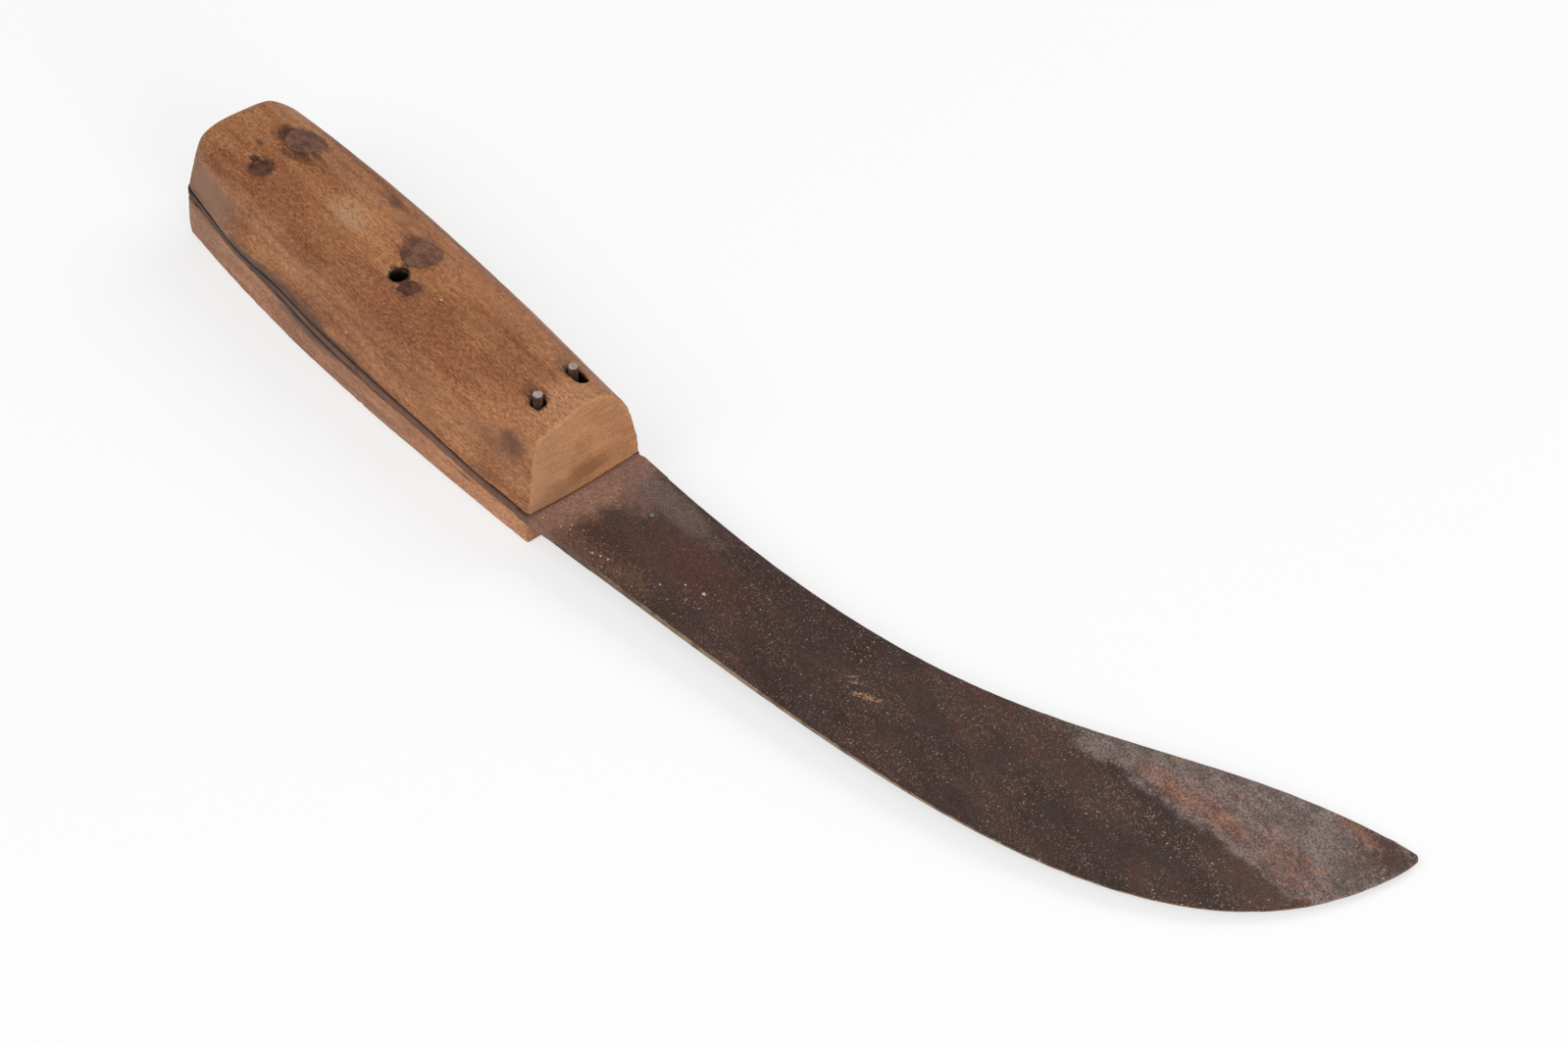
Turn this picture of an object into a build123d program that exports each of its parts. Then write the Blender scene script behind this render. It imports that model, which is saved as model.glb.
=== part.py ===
from build123d import *
from math import atan, cos, degrees, radians, sin, tan
import os

# A skinning knife with an upswept blade. The blade's full tang lies between two wooden scales,
# held by two cutler's rivets, two headed nails and two headless pins. Nothing on it moves.
# X runs from the butt to the tip, Y towards the spine and Z up. The flat underside of the
# lower scale is z = 0. While it is modelled x = 0 is where the blade leaves the upper scale,
# and the finished pieces are moved so that the origin lies under the middle of the handle.
# Lengths are in millimetres and angles in degrees.

# Handle, seen from above
handle_length = 113.8          # from the blade to the corners of the butt
front_width = 27.6
belly_width = 32.1             # half-way between the front and the rear
rear_width = 30.1
butt_width = 26.9
rear_inset = 16.0              # rear_width is measured this far from the butt
belly_drift = 0.9              # how far the handle bows towards the spine
rear_drift = 1.95
butt_drift = 2.9
butt_crown = 2.9               # the butt bulges this far at its middle
lower_set_back = 1.2           # the lower scale starts behind the upper one

# Handle, seen from the end
front_height = 25.75
butt_height = 27.55
edge_wall_lean = 16.5          # the upper scale's walls lean in, more on the edge's side
spine_wall_lean = 4.5
lower_wall_lean = 2.5          # the lower scale's walls lean in towards the underside
crown_drift = 4.1              # the top's ridge lies towards the spine
edge_crown_drop = 2.3          # fall of the top from its ridge to its shoulders
spine_crown_drop = 4.0
butt_crown_drop = 1.4          # further fall at the butt
crown_radius = 9.0
edge_shoulder_radius = 5.0
spine_shoulder_radius = 8.0
butt_shoulder_growth = 3.0     # the shoulders are rounder at the butt
wall_radius = 12.0
foot_radius = 1.8              # underside edges
foot_skim = 0.3                # planed off the underside once its edges are rounded
butt_corner_radius = 2.5       # seen from above
butt_bow_radius = 105.0        # seen from the side
butt_top_radius = 10.5
butt_margin = 0.5              # the rounding starts this far outside the butt's own outline
bow_margin = 0.15              # and the bow this far behind its end
front_slope = 12.5             # the upper scale's front leans back

# Blade
seam_height = 8.8              # top of the tang at the front of the handle
blade_droop = 2.2              # the blade falls towards its tip
tang_thickness = 2.2
tang_butt_thickness = 1.2      # the tang thins towards the butt
blade_length = 159.2
root_spine = 13.45             # the spine and the edge at the handle, from the axis
root_edge = 14.1
tip_rise = 58.4                # the tip, towards the spine, from the axis
spine_run = 101.8              # how far the spine runs on before it turns up
spine_sag = 3.35
spine_lift = 54.6              # where the spine's upper curve is aimed back from the tip
spine_lift_rise = 12.6
edge_run = 82.0                # how far the cutting edge runs on before the belly
edge_rise = 5.1
belly_lead = 4.6               # the belly is aimed down from the tip, and this far back
belly_depth = 62.3
spine_tip_thickness = 1.0
edge_thickness = 0.35
tip_width = 0.8
tang_lap = 3.0                 # the blade is one piece with the tang over this length

# Cutler's rivets: a solid stud driven into a tube, each with a flat head
rivet_head_diameter = 8.6
rivet_head_thickness = 1.1
tube_diameter = 5.0
stud_diameter = 3.2
tube_floor = 3.0               # the tube reaches this far short of the stud's head
stud_floor = 2.5               # the stud stops this far short of the tube's head
rear_rivet_inset = 17.3        # from the corners of the butt
rear_rivet_y = 7.3
middle_rivet_ahead = 1.5       # from the middle of the handle
middle_rivet_y = 4.7

# Nails and pins
nail_head_diameter = 5.2
nail_head_thickness = 1.0
nail_diameter = 2.4
nail_length = 22.0
nail_point = 0.6
rear_nail_inset = 17.5
rear_nail_y = -3.9
middle_nail_ahead = 6.6
middle_nail_y = -2.4
nail_sink = 0.3                # the middle nail's head lies below the wood
pin_diameter = 2.05
pin_stand = 1.8                # the pins stand out of the wood
pin_floor = 1.5                # the pins stop above the underside
edge_pin_inset = 10.3          # from the front of the handle
edge_pin_y = -2.9
spine_pin_inset = 11.9
spine_pin_y = 6.9

# Old holes in the upper scale
old_hole_diameter = 3.8
old_hole_ahead = 2.8           # from the middle of the handle
old_hole_y = -1.9
gouge_width = 2.7
edge_gouge_length = 0.4        # each gouge runs forward from its pin's axis
spine_gouge_length = 2.4
gouge_depth = 5.0

fit_clearance = 0.05           # around shanks and heads, on the radius
head_clearance = 0.02          # under each head

underside = 0.0
probe_diameter = 0.1


def seam_at(x):
    """Height of the tang's top face."""
    return seam_height - x * tan(radians(blade_droop))


def top_at(x):
    return front_height - (butt_height - front_height) * x / handle_length


def section(x, width, drift, growth=0.0, drop=0.0):
    """The handle's outline across its length, flat below and crowned above."""
    seam = seam_at(x)
    foot = underside - foot_skim
    foot_y = width / 2 - seam * tan(radians(lower_wall_lean))
    edge_shoulder = top_at(x) - edge_crown_drop - drop
    spine_shoulder = top_at(x) - spine_crown_drop - drop
    edge_y = width / 2 - (edge_shoulder - seam) * tan(radians(edge_wall_lean))
    spine_y = width / 2 - (spine_shoulder - seam) * tan(radians(spine_wall_lean))
    corners = [(-foot_y, foot), (foot_y, foot), (width / 2, seam), (spine_y, spine_shoulder),
               (crown_drift, top_at(x)), (-edge_y, edge_shoulder), (-width / 2, seam)]
    radii = [foot_radius, foot_radius, wall_radius, spine_shoulder_radius + growth, crown_radius,
             edge_shoulder_radius + growth, wall_radius]
    across = Plane((x, drift, 0), x_dir=(0, 1, 0), z_dir=(1, 0, 0))
    return make_face(across * FilletPolyline(*corners, radius=radii, close=True))


def rounded_end():
    """A flat-bottomed block whose end has the butt's crowned plan and its rounded-over top."""
    end = handle_length + butt_crown
    half = butt_width / 2 + butt_margin
    height = top_at(-end) + butt_margin
    outline = Polyline((-handle_length, -half), (handle_length, -belly_width),
                       (handle_length, belly_width), (-handle_length, half))
    outline += ThreePointArc((-handle_length, half), (-end, 0), (-handle_length, -half))
    plan = make_face(outline)
    plan = fillet(plan.vertices().sort_by(Axis.X)[:2], butt_corner_radius)
    behind = end + butt_margin
    side = make_face(Polyline((-behind, underside), (handle_length, underside),
                              (handle_length, height), (-behind, height), (-behind, underside)))
    bow = Pos(butt_bow_radius - bow_margin - end, seam_at(-end)) * Circle(butt_bow_radius)
    ahead = Pos(handle_length / 2, 0) * Rectangle(2 * handle_length, 2 * height)
    side = side & (bow + ahead)
    top_corner = side.vertices().group_by(Axis.Y)[-1].sort_by(Axis.X)[0]
    side = fillet(top_corner, butt_top_radius)
    upright_block = Pos(0, butt_drift, underside) * extrude(plan, height)
    return upright_block & extrude(Plane.XZ * side, belly_width, both=True)


def handle_body():
    """The whole handle as shaped after its scales were put on."""
    rear = handle_length - rear_inset
    behind = handle_length + butt_crown + butt_margin
    blank = loft([section(0, front_width, 0),
                  section(-rear / 2, belly_width, belly_drift),
                  section(-rear, rear_width, rear_drift),
                  section(-behind, butt_width, butt_drift, butt_shoulder_growth,
                          butt_crown_drop)])
    return blank & rounded_end()


def tang_plane(depth):
    """The tang's own plane, the given depth below its top face."""
    lean = radians(blade_droop)
    normal = Vector(sin(lean), 0, cos(lean))
    return Plane(Vector(0, 0, seam_height) - normal * depth, x_dir=(cos(lean), 0, -sin(lean)),
                 z_dir=normal)


def tang_taper():
    """The tang's underside behind the blade, where it thins towards the butt."""
    thinned = (tang_thickness - tang_butt_thickness) / (handle_length - tang_lap)
    lean = radians(blade_droop + degrees(atan(thinned)))
    start = tang_plane(tang_thickness)
    return Plane(start.origin - start.x_dir * tang_lap, x_dir=(cos(lean), 0, -sin(lean)),
                 z_dir=(sin(lean), 0, cos(lean)))


def blade_curves(side):
    """The spine and the cutting edge on one face of the blade, side +1 above and -1 below."""
    root = side * tang_thickness / 2
    thin = side * edge_thickness / 2
    spine_end = side * spine_tip_thickness / 2
    tip = (blade_length, tip_rise)
    spine = Bezier((-tang_lap, root_spine, root), (spine_run, root_spine - spine_sag, root),
                   (tip[0] - spine_lift, tip[1] - spine_lift_rise, root), (*tip, spine_end))
    edge = Bezier((-tang_lap, -root_edge, root), (edge_run, -edge_rise, thin),
                  (tip[0] - belly_lead, tip[1] - belly_depth, thin),
                  (tip[0] + tip_width, tip[1] - tip_width, thin))
    return spine, edge


def blade_skin():
    spine_top, edge_top = blade_curves(1)
    spine_bottom, edge_bottom = blade_curves(-1)
    rule = Face.make_surface_from_curves
    root = rule(Line(spine_top @ 0, edge_top @ 0), Line(spine_bottom @ 0, edge_bottom @ 0))
    tip = rule(Line(spine_top @ 1, edge_top @ 1), Line(spine_bottom @ 1, edge_bottom @ 1))
    faces = [rule(spine_top, edge_top), rule(spine_bottom, edge_bottom),
             rule(spine_top, spine_bottom), rule(edge_top, edge_bottom), root, tip]
    return Solid(Shell(faces))


def blade(body):
    tang = split(split(body, tang_plane(0), Keep.BOTTOM), tang_plane(tang_thickness), Keep.TOP)
    tang = split(tang, tang_taper(), Keep.TOP)
    return tang + tang_plane(tang_thickness / 2) * blade_skin()


def upright(x, y, bottom, top, diameter):
    """A cylinder that stands on its end between two heights."""
    return Pos(x, y, (bottom + top) / 2) * Cylinder(diameter / 2, top - bottom)


def surface_at(body, x, y):
    """Height of the handle's top surface at one place."""
    return (body & upright(x, y, underside, 2 * butt_height, probe_diameter)).bounding_box().max.Z


class Rivet:
    """A cutler's rivet: its stud's head is ground flush with the top, its tube's with the underside."""

    def __init__(self, body, x, y):
        self.x, self.y, self.body = x, y, body
        outer = y + rivet_head_diameter / 2
        self.seat = surface_at(body, x, outer) - rivet_head_thickness
        self.above = 2 * butt_height

    def stud(self):
        shank = upright(self.x, self.y, underside + rivet_head_thickness + stud_floor, self.seat,
                        stud_diameter)
        head = upright(self.x, self.y, self.seat, self.above, rivet_head_diameter)
        return (shank + head) & self.body

    def tube(self):
        barrel = upright(self.x, self.y, underside, self.seat - tube_floor, tube_diameter)
        bore = upright(self.x, self.y, underside + rivet_head_thickness, self.above,
                       stud_diameter + 2 * fit_clearance)
        head = upright(self.x, self.y, underside, underside + rivet_head_thickness,
                       rivet_head_diameter)
        return (barrel - bore) + head

    def holes(self):
        grown = 2 * fit_clearance
        seat = self.seat - head_clearance
        foot = underside + rivet_head_thickness + head_clearance
        drilled = upright(self.x, self.y, underside, seat - tube_floor + grown, tube_diameter + grown)
        drilled += upright(self.x, self.y, underside, seat, stud_diameter + grown)
        drilled += upright(self.x, self.y, seat, self.above, rivet_head_diameter + grown)
        return drilled + upright(self.x, self.y, underside - grown, foot, rivet_head_diameter + grown)


class Nail:
    """A headed nail driven down through the upper scale and the tang."""

    def __init__(self, body, x, y, sink):
        self.x, self.y = x, y
        self.top = surface_at(body, x, y) - sink

    def solid(self):
        neck = self.top - nail_head_thickness
        point = self.top - nail_length
        shank = upright(self.x, self.y, point + nail_diameter, neck, nail_diameter)
        tip = Pos(self.x, self.y, point + nail_diameter / 2) * Cone(nail_point / 2, nail_diameter / 2,
                                                                   nail_diameter)
        head = upright(self.x, self.y, neck, self.top, nail_head_diameter)
        rim = head.edges().sort_by(Axis.Z)[-1]
        return shank + tip + chamfer(rim, nail_head_thickness / 4)

    def holes(self):
        grown = 2 * fit_clearance
        neck = self.top - nail_head_thickness
        drilled = upright(self.x, self.y, self.top - nail_length, 2 * butt_height,
                          nail_diameter + grown)
        return drilled + upright(self.x, self.y, neck - head_clearance, 2 * butt_height,
                                 nail_head_diameter + grown)


class Pin:
    """A headless wire pin that stands out of a gouge in the upper scale."""

    def __init__(self, body, x, y, gouge_length):
        self.x, self.y, self.gouge_length = x, y, gouge_length
        self.wood = surface_at(body, x, y)

    def solid(self):
        wire = upright(self.x, self.y, pin_floor, self.wood + pin_stand, pin_diameter)
        return chamfer(wire.edges().sort_by(Axis.Z)[-1], pin_diameter / 10)

    def hole(self):
        return upright(self.x, self.y, pin_floor, 2 * butt_height, pin_diameter + 2 * fit_clearance)

    def gouge(self):
        slot = SlotCenterToCenter(self.gouge_length, gouge_width)
        floor = self.wood - gouge_depth
        return Pos(self.x + self.gouge_length / 2, self.y, floor) * extrude(slot, 2 * butt_height)


def upper_scale(body):
    front = Plane((0, 0, seam_height), x_dir=(0, 1, 0),
                  z_dir=(cos(radians(front_slope)), 0, sin(radians(front_slope))))
    return split(split(body, tang_plane(0), Keep.TOP), front, Keep.BOTTOM)


def lower_scale(body):
    front = Plane.YZ.offset(-lower_set_back)
    below = split(split(body, tang_plane(tang_thickness), Keep.BOTTOM), tang_taper(), Keep.BOTTOM)
    return split(below, front, Keep.BOTTOM)


def make_parts():
    body = handle_body()
    middle = -handle_length / 2
    rear_rivet = Rivet(body, rear_rivet_inset - handle_length, rear_rivet_y)
    middle_rivet = Rivet(body, middle + middle_rivet_ahead, middle_rivet_y)
    rear_nail = Nail(body, rear_nail_inset - handle_length, rear_nail_y, 0)
    middle_nail = Nail(body, middle + middle_nail_ahead, middle_nail_y, nail_sink)
    edge_pin = Pin(body, -edge_pin_inset, edge_pin_y, edge_gouge_length)
    spine_pin = Pin(body, -spine_pin_inset, spine_pin_y, spine_gouge_length)

    through = [rear_rivet.holes(), middle_rivet.holes(), rear_nail.holes(), middle_nail.holes(),
               edge_pin.hole(), spine_pin.hole()]
    old_hole = upright(middle + old_hole_ahead, old_hole_y, underside, 2 * butt_height,
                       old_hole_diameter)
    openings = [old_hole, edge_pin.gouge(), spine_pin.gouge()]
    return {
        "blade": blade(body) - through,
        "upper_scale": upper_scale(body) - through - openings,
        "lower_scale": lower_scale(body) - through,
        "rear_rivet_stud": rear_rivet.stud(),
        "rear_rivet_tube": rear_rivet.tube(),
        "middle_rivet_stud": middle_rivet.stud(),
        "middle_rivet_tube": middle_rivet.tube(),
        "rear_nail": rear_nail.solid(),
        "middle_nail": middle_nail.solid(),
        "edge_side_pin": edge_pin.solid(),
        "spine_side_pin": spine_pin.solid(),
    }


os.makedirs("parts", exist_ok=True)
under_the_handle = Pos(handle_length / 2, 0, 0)
for name, solid in make_parts().items():
    export_step(under_the_handle * solid, f"parts/{name}.step")
    print(name, round(solid.volume, 1), "mm3")
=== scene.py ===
import bpy, bmesh, math
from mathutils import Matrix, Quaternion, Vector, noise
from mathutils.bvhtree import BVHTree
from mathutils.kdtree import KDTree


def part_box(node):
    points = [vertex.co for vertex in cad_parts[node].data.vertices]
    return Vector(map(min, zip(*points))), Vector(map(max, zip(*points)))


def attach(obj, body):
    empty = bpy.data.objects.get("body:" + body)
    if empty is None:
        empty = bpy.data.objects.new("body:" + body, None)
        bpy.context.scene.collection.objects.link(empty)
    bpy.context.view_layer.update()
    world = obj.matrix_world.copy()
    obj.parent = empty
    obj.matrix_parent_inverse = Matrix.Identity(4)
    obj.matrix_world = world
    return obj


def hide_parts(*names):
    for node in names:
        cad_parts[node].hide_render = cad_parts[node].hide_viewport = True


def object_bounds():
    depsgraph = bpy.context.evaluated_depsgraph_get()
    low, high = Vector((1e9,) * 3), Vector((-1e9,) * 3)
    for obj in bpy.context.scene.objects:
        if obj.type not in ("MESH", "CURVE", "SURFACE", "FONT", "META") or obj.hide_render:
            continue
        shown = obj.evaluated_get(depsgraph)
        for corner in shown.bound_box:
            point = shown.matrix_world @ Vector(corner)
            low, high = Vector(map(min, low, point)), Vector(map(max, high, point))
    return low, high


# An old skinning knife, laid on the flat of its lower wooden scale. Its wood, iron and blade
# are copies of the construction's own solids, worn, dented and pitted here, with a finish each.
# Sizes in the dictionaries are millimetres and angles are degrees. X runs along the wood's
# grain from the butt to the tip, and Y runs from the cutting edge's side to the spine's.

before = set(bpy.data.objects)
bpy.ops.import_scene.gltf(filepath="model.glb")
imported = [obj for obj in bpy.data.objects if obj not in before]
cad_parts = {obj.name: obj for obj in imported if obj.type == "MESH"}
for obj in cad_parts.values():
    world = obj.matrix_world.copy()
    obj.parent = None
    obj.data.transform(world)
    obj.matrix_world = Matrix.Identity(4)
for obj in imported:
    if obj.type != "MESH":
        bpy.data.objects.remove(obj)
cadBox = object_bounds()
mm = 0.001

handle = {"low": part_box("upper_scale")[0] / mm, "high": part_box("upper_scale")[1] / mm,
          "droop": 2.2, "frontSlope": 12.5, "tang": 2.2, "tangButt": 1.2, "tangLap": 3.0}
frontX, buttX = handle["high"].x, handle["low"].x
seamZ = handle["low"].z
seamUp = Vector((math.sin(math.radians(handle["droop"])), 0, math.cos(math.radians(handle["droop"]))))
frontOut = Vector((math.cos(math.radians(handle["frontSlope"])), 0,
                   math.sin(math.radians(handle["frontSlope"]))))
frontFoot = Vector((frontX, 0, seamZ))


def tangAt(x):                                       # the tang thins towards the butt
    back = max(0.0, (frontX - handle["tangLap"] - x) / (frontX - handle["tangLap"] - buttX))
    return handle["tang"] + (handle["tangButt"] - handle["tang"]) * back


def middleOf(node):                                  # a node's middle, seen from above
    low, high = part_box(node)
    return ((low + high) / 2 / mm).xy


def topOf(node):                                     # and how high it reaches
    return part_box(node)[1].z / mm


def clamp(value, highest=1.0):
    return max(0.0, min(highest, value))


def paint(red, green, blue):                         # a colour as a screen shows it
    parts = [c / 255 for c in (red, green, blue)]
    return tuple(c / 12.92 if c < 0.04045 else ((c + 0.055) / 1.055) ** 2.4 for c in parts) + (1.0,)


def clearTree(owner):                                # the nodes of a material or world, emptied
    owner.use_nodes = True
    owner.node_tree.nodes.clear()
    return owner.node_tree


def addNode(tree, kind, sockets=None, **fields):     # links or sets each of the sockets
    node = tree.nodes.new("ShaderNode" + kind)
    for name, value in fields.items():
        setattr(node, name, value)
    for name, value in (sockets or {}).items():
        if isinstance(value, bpy.types.NodeSocket):
            tree.links.new(value, node.inputs[name])
        else:
            node.inputs[name].default_value = value
    return node


def maths(tree, operation, first, second=0.0):
    return addNode(tree, "Math", {0: first, 1: second}, operation=operation).outputs[0]


def plus(tree, first, second):
    return maths(tree, "ADD", first, second)


def minus(tree, first, second):
    return maths(tree, "SUBTRACT", first, second)


def times(tree, first, second):
    return maths(tree, "MULTIPLY", first, second)


def vectors(tree, operation, first, second=(0.0, 0.0, 0.0)):
    node = addNode(tree, "VectorMath", {0: first, 1: second}, operation=operation)
    return node.outputs["Value" if operation in ("LENGTH", "DOT_PRODUCT") else "Vector"]


def fromFoot(tree, place, way):                      # how far a place lies from the front's foot
    return vectors(tree, "DOT_PRODUCT", vectors(tree, "SUBTRACT", place, tuple(frontFoot)), tuple(way))


def spread(tree, value, low, high, lowest=0.0, highest=1.0):    # eases low..high to lowest..highest
    sockets = {"Value": value, "From Min": low, "From Max": high, "To Min": lowest, "To Max": highest}
    return addNode(tree, "MapRange", sockets, interpolation_type="SMOOTHSTEP").outputs["Result"]


def markOf(tree, name):                              # a mark that the mesh carries
    return addNode(tree, "Attribute", attribute_name=name).outputs["Fac"]


def noiseOf(tree, place, size, detail, roughness=0.62):
    return addNode(tree, "TexNoise", {"Vector": vectors(tree, "DIVIDE", place, size), "Scale": 1.0,
                                      "Detail": detail, "Roughness": roughness}).outputs[0]


def layer(tree, factor, under, over, mode="MIX"):    # one colour laid over another
    return addNode(tree, "Mix", {0: factor, 6: under, 7: over}, data_type="RGBA",
                   blend_type=mode).outputs[2]


def shaded(tree, colour, value):                     # a colour made darker or lighter
    grey = addNode(tree, "CombineColor", {0: value, 1: value, 2: value}).outputs[0]
    return layer(tree, 1.0, colour, grey, "MULTIPLY")


def startGroup(name, takes, gives):
    group = bpy.data.node_groups.new(name, "ShaderNodeTree")
    for label, value in takes.items():
        kind = "NodeSocketVector" if isinstance(value, tuple) else "NodeSocketFloat"
        group.interface.new_socket(label, in_out="INPUT", socket_type=kind).default_value = value
    for label in gives:
        group.interface.new_socket(label, in_out="OUTPUT", socket_type="NodeSocketFloat")
    return group, group.nodes.new("NodeGroupInput").outputs, group.nodes.new("NodeGroupOutput").inputs


def useGroup(tree, group, sockets):
    return addNode(tree, "Group", sockets, node_tree=group).outputs


def startMaterial(name):                             # its coordinates are in millimetres
    material = bpy.data.materials.new(name)
    tree = clearTree(material)
    place = vectors(tree, "SCALE", addNode(tree, "TexCoord").outputs["Object"])
    place.node.inputs["Scale"].default_value = 1 / mm
    return material, tree, place


def dress(material, sockets, relief, depth, strength):    # depth is in millimetres
    tree = material.node_tree
    bump = addNode(tree, "Bump", {"Strength": strength, "Distance": depth * mm, "Height": relief})
    shader = addNode(tree, "BsdfPrincipled", {"Normal": bump.outputs[0], **sockets})
    addNode(tree, "OutputMaterial", {"Surface": shader.outputs[0]})
    return material


# A soft or ragged patch round one place
raggedPatch, given, made = startGroup(
    "ragged patch", {"Place": (0.0, 0.0, 0.0), "Centre": (0.0, 0.0, 0.0), "Reach": (1.0, 1.0, 1.0),
                     "Softness": 0.5, "Raggedness": 0.4, "Rag Size": (1.0, 1.0, 1.0)}, ["Mask"])
away = vectors(raggedPatch, "DIVIDE", vectors(raggedPatch, "SUBTRACT", given["Place"], given["Centre"]),
               given["Reach"])
rags = noiseOf(raggedPatch, given["Place"], given["Rag Size"], 4.0)
wobble = times(raggedPatch, minus(raggedPatch, rags, 0.5), times(raggedPatch, given["Raggedness"], 4.0))
reached = plus(raggedPatch, vectors(raggedPatch, "LENGTH", away), wobble)
inner = minus(raggedPatch, 1.0, given["Softness"])
raggedPatch.links.new(spread(raggedPatch, reached, 1.0, inner), made["Mask"])

# Grain, all along X: short flecks, long streaks, thin dark dashes and pale glints
woodFigure, given, made = startGroup(
    "wood figure", {"Place": (0.0, 0.0, 0.0), "Fleck": (1.1, 0.25, 0.25), "Streak": (38.0, 2.4, 2.4),
                    "Dash": (0.9, 0.21, 0.21)}, ["Flecks", "Streaks", "Dashes", "Glints"])
bent = addNode(woodFigure, "TexNoise", {"Vector": given["Place"], "Scale": 0.022, "Detail": 1.0})
lean = vectors(woodFigure, "MULTIPLY", vectors(woodFigure, "SUBTRACT", bent.outputs["Color"],
                                               (0.5, 0.5, 0.5)), (0.0, 6.0, 6.0))
grained = vectors(woodFigure, "ADD", given["Place"], lean)
for label, size, detail, low, high in (("Flecks", "Fleck", 2.0, 0.34, 0.66),
                                       ("Streaks", "Streak", 4.0, 0.32, 0.68),
                                       ("Dashes", "Dash", 1.0, 0.56, 0.68),
                                       ("Glints", "Dash", 1.0, 0.42, 0.32)):
    lines = noiseOf(woodFigure, grained, given[size], detail, 0.6)
    woodFigure.links.new(spread(woodFigure, lines, low, high), made[label])

# Cloudy mottling
mottling, given, made = startGroup("mottling", {"Place": (0.0, 0.0, 0.0), "Size": (5.0, 5.0, 5.0),
                                                "Detail": 5.0, "Low": 0.38, "High": 0.62}, ["Mask"])
clouds = noiseOf(mottling, given["Place"], given["Size"], given["Detail"])
mottling.links.new(spread(mottling, clouds, given["Low"], given["High"]), made["Mask"])

# Crisp dots, each with its own size, in a share of the cells of one size
specks, given, made = startGroup("specks", {"Place": (0.0, 0.0, 0.0), "Cell": 1.0, "Share": 0.4,
                                            "Dot": 0.3, "Shift": (0.0, 0.0, 0.0)}, ["Mask"])
shifted = vectors(specks, "ADD", given["Place"], given["Shift"])
perCell = maths(specks, "DIVIDE", 1.0, given["Cell"])
cells = addNode(specks, "TexVoronoi", {"Vector": shifted, "Scale": perCell})
chance = addNode(specks, "SeparateColor", {0: cells.outputs["Color"]})
dotSize = times(specks, given["Dot"], plus(specks, 0.35, times(specks, chance.outputs[1], 0.65)))
present = maths(specks, "LESS_THAN", chance.outputs[0], given["Share"])
dots = spread(specks, cells.outputs["Distance"], dotSize, times(specks, dotSize, 0.5))
specks.links.new(times(specks, dots, present), made["Mask"])


def mottled(tree, place, size, detail, low=0.38, high=0.62):
    return useGroup(tree, mottling, {"Place": place, "Size": size, "Detail": detail, "Low": low,
                                     "High": high})["Mask"]


def dotMask(tree, place, cell, share, dot, shift=(0.0, 0.0, 0.0)):
    return useGroup(tree, specks, {"Place": place, "Cell": cell, "Share": share, "Dot": dot,
                                   "Shift": shift})["Mask"]


def dotsOver(tree, place, base, colour, strength, **dots):    # scatters dots of one colour
    return layer(tree, times(tree, dotMask(tree, place, **dots), strength), base, paint(*colour))


def patchMask(tree, place, patch):
    return useGroup(tree, raggedPatch, {
        "Place": place, "Centre": patch["at"], "Reach": patch["reach"],
        "Softness": patch.get("soft", 0.8), "Raggedness": patch.get("ragged", 0.25),
        "Rag Size": patch.get("rag", (5.0, 1.6, 1.6))})["Mask"]


def patchOver(tree, place, base, patch):             # lays one named patch over a colour
    factor = times(tree, patchMask(tree, place, patch), patch.get("strength", 0.8))
    return layer(tree, factor, base, paint(*patch["colour"]))


# The wood of the two scales
rearRivet, middleRivet = middleOf("rear_rivet_stud"), middleOf("middle_rivet_stud")
rearNail, middleNail = middleOf("rear_nail"), middleOf("middle_nail")
edgePin, spinePin = middleOf("edge_side_pin"), middleOf("spine_side_pin")
topZ = handle["high"].z

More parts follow.
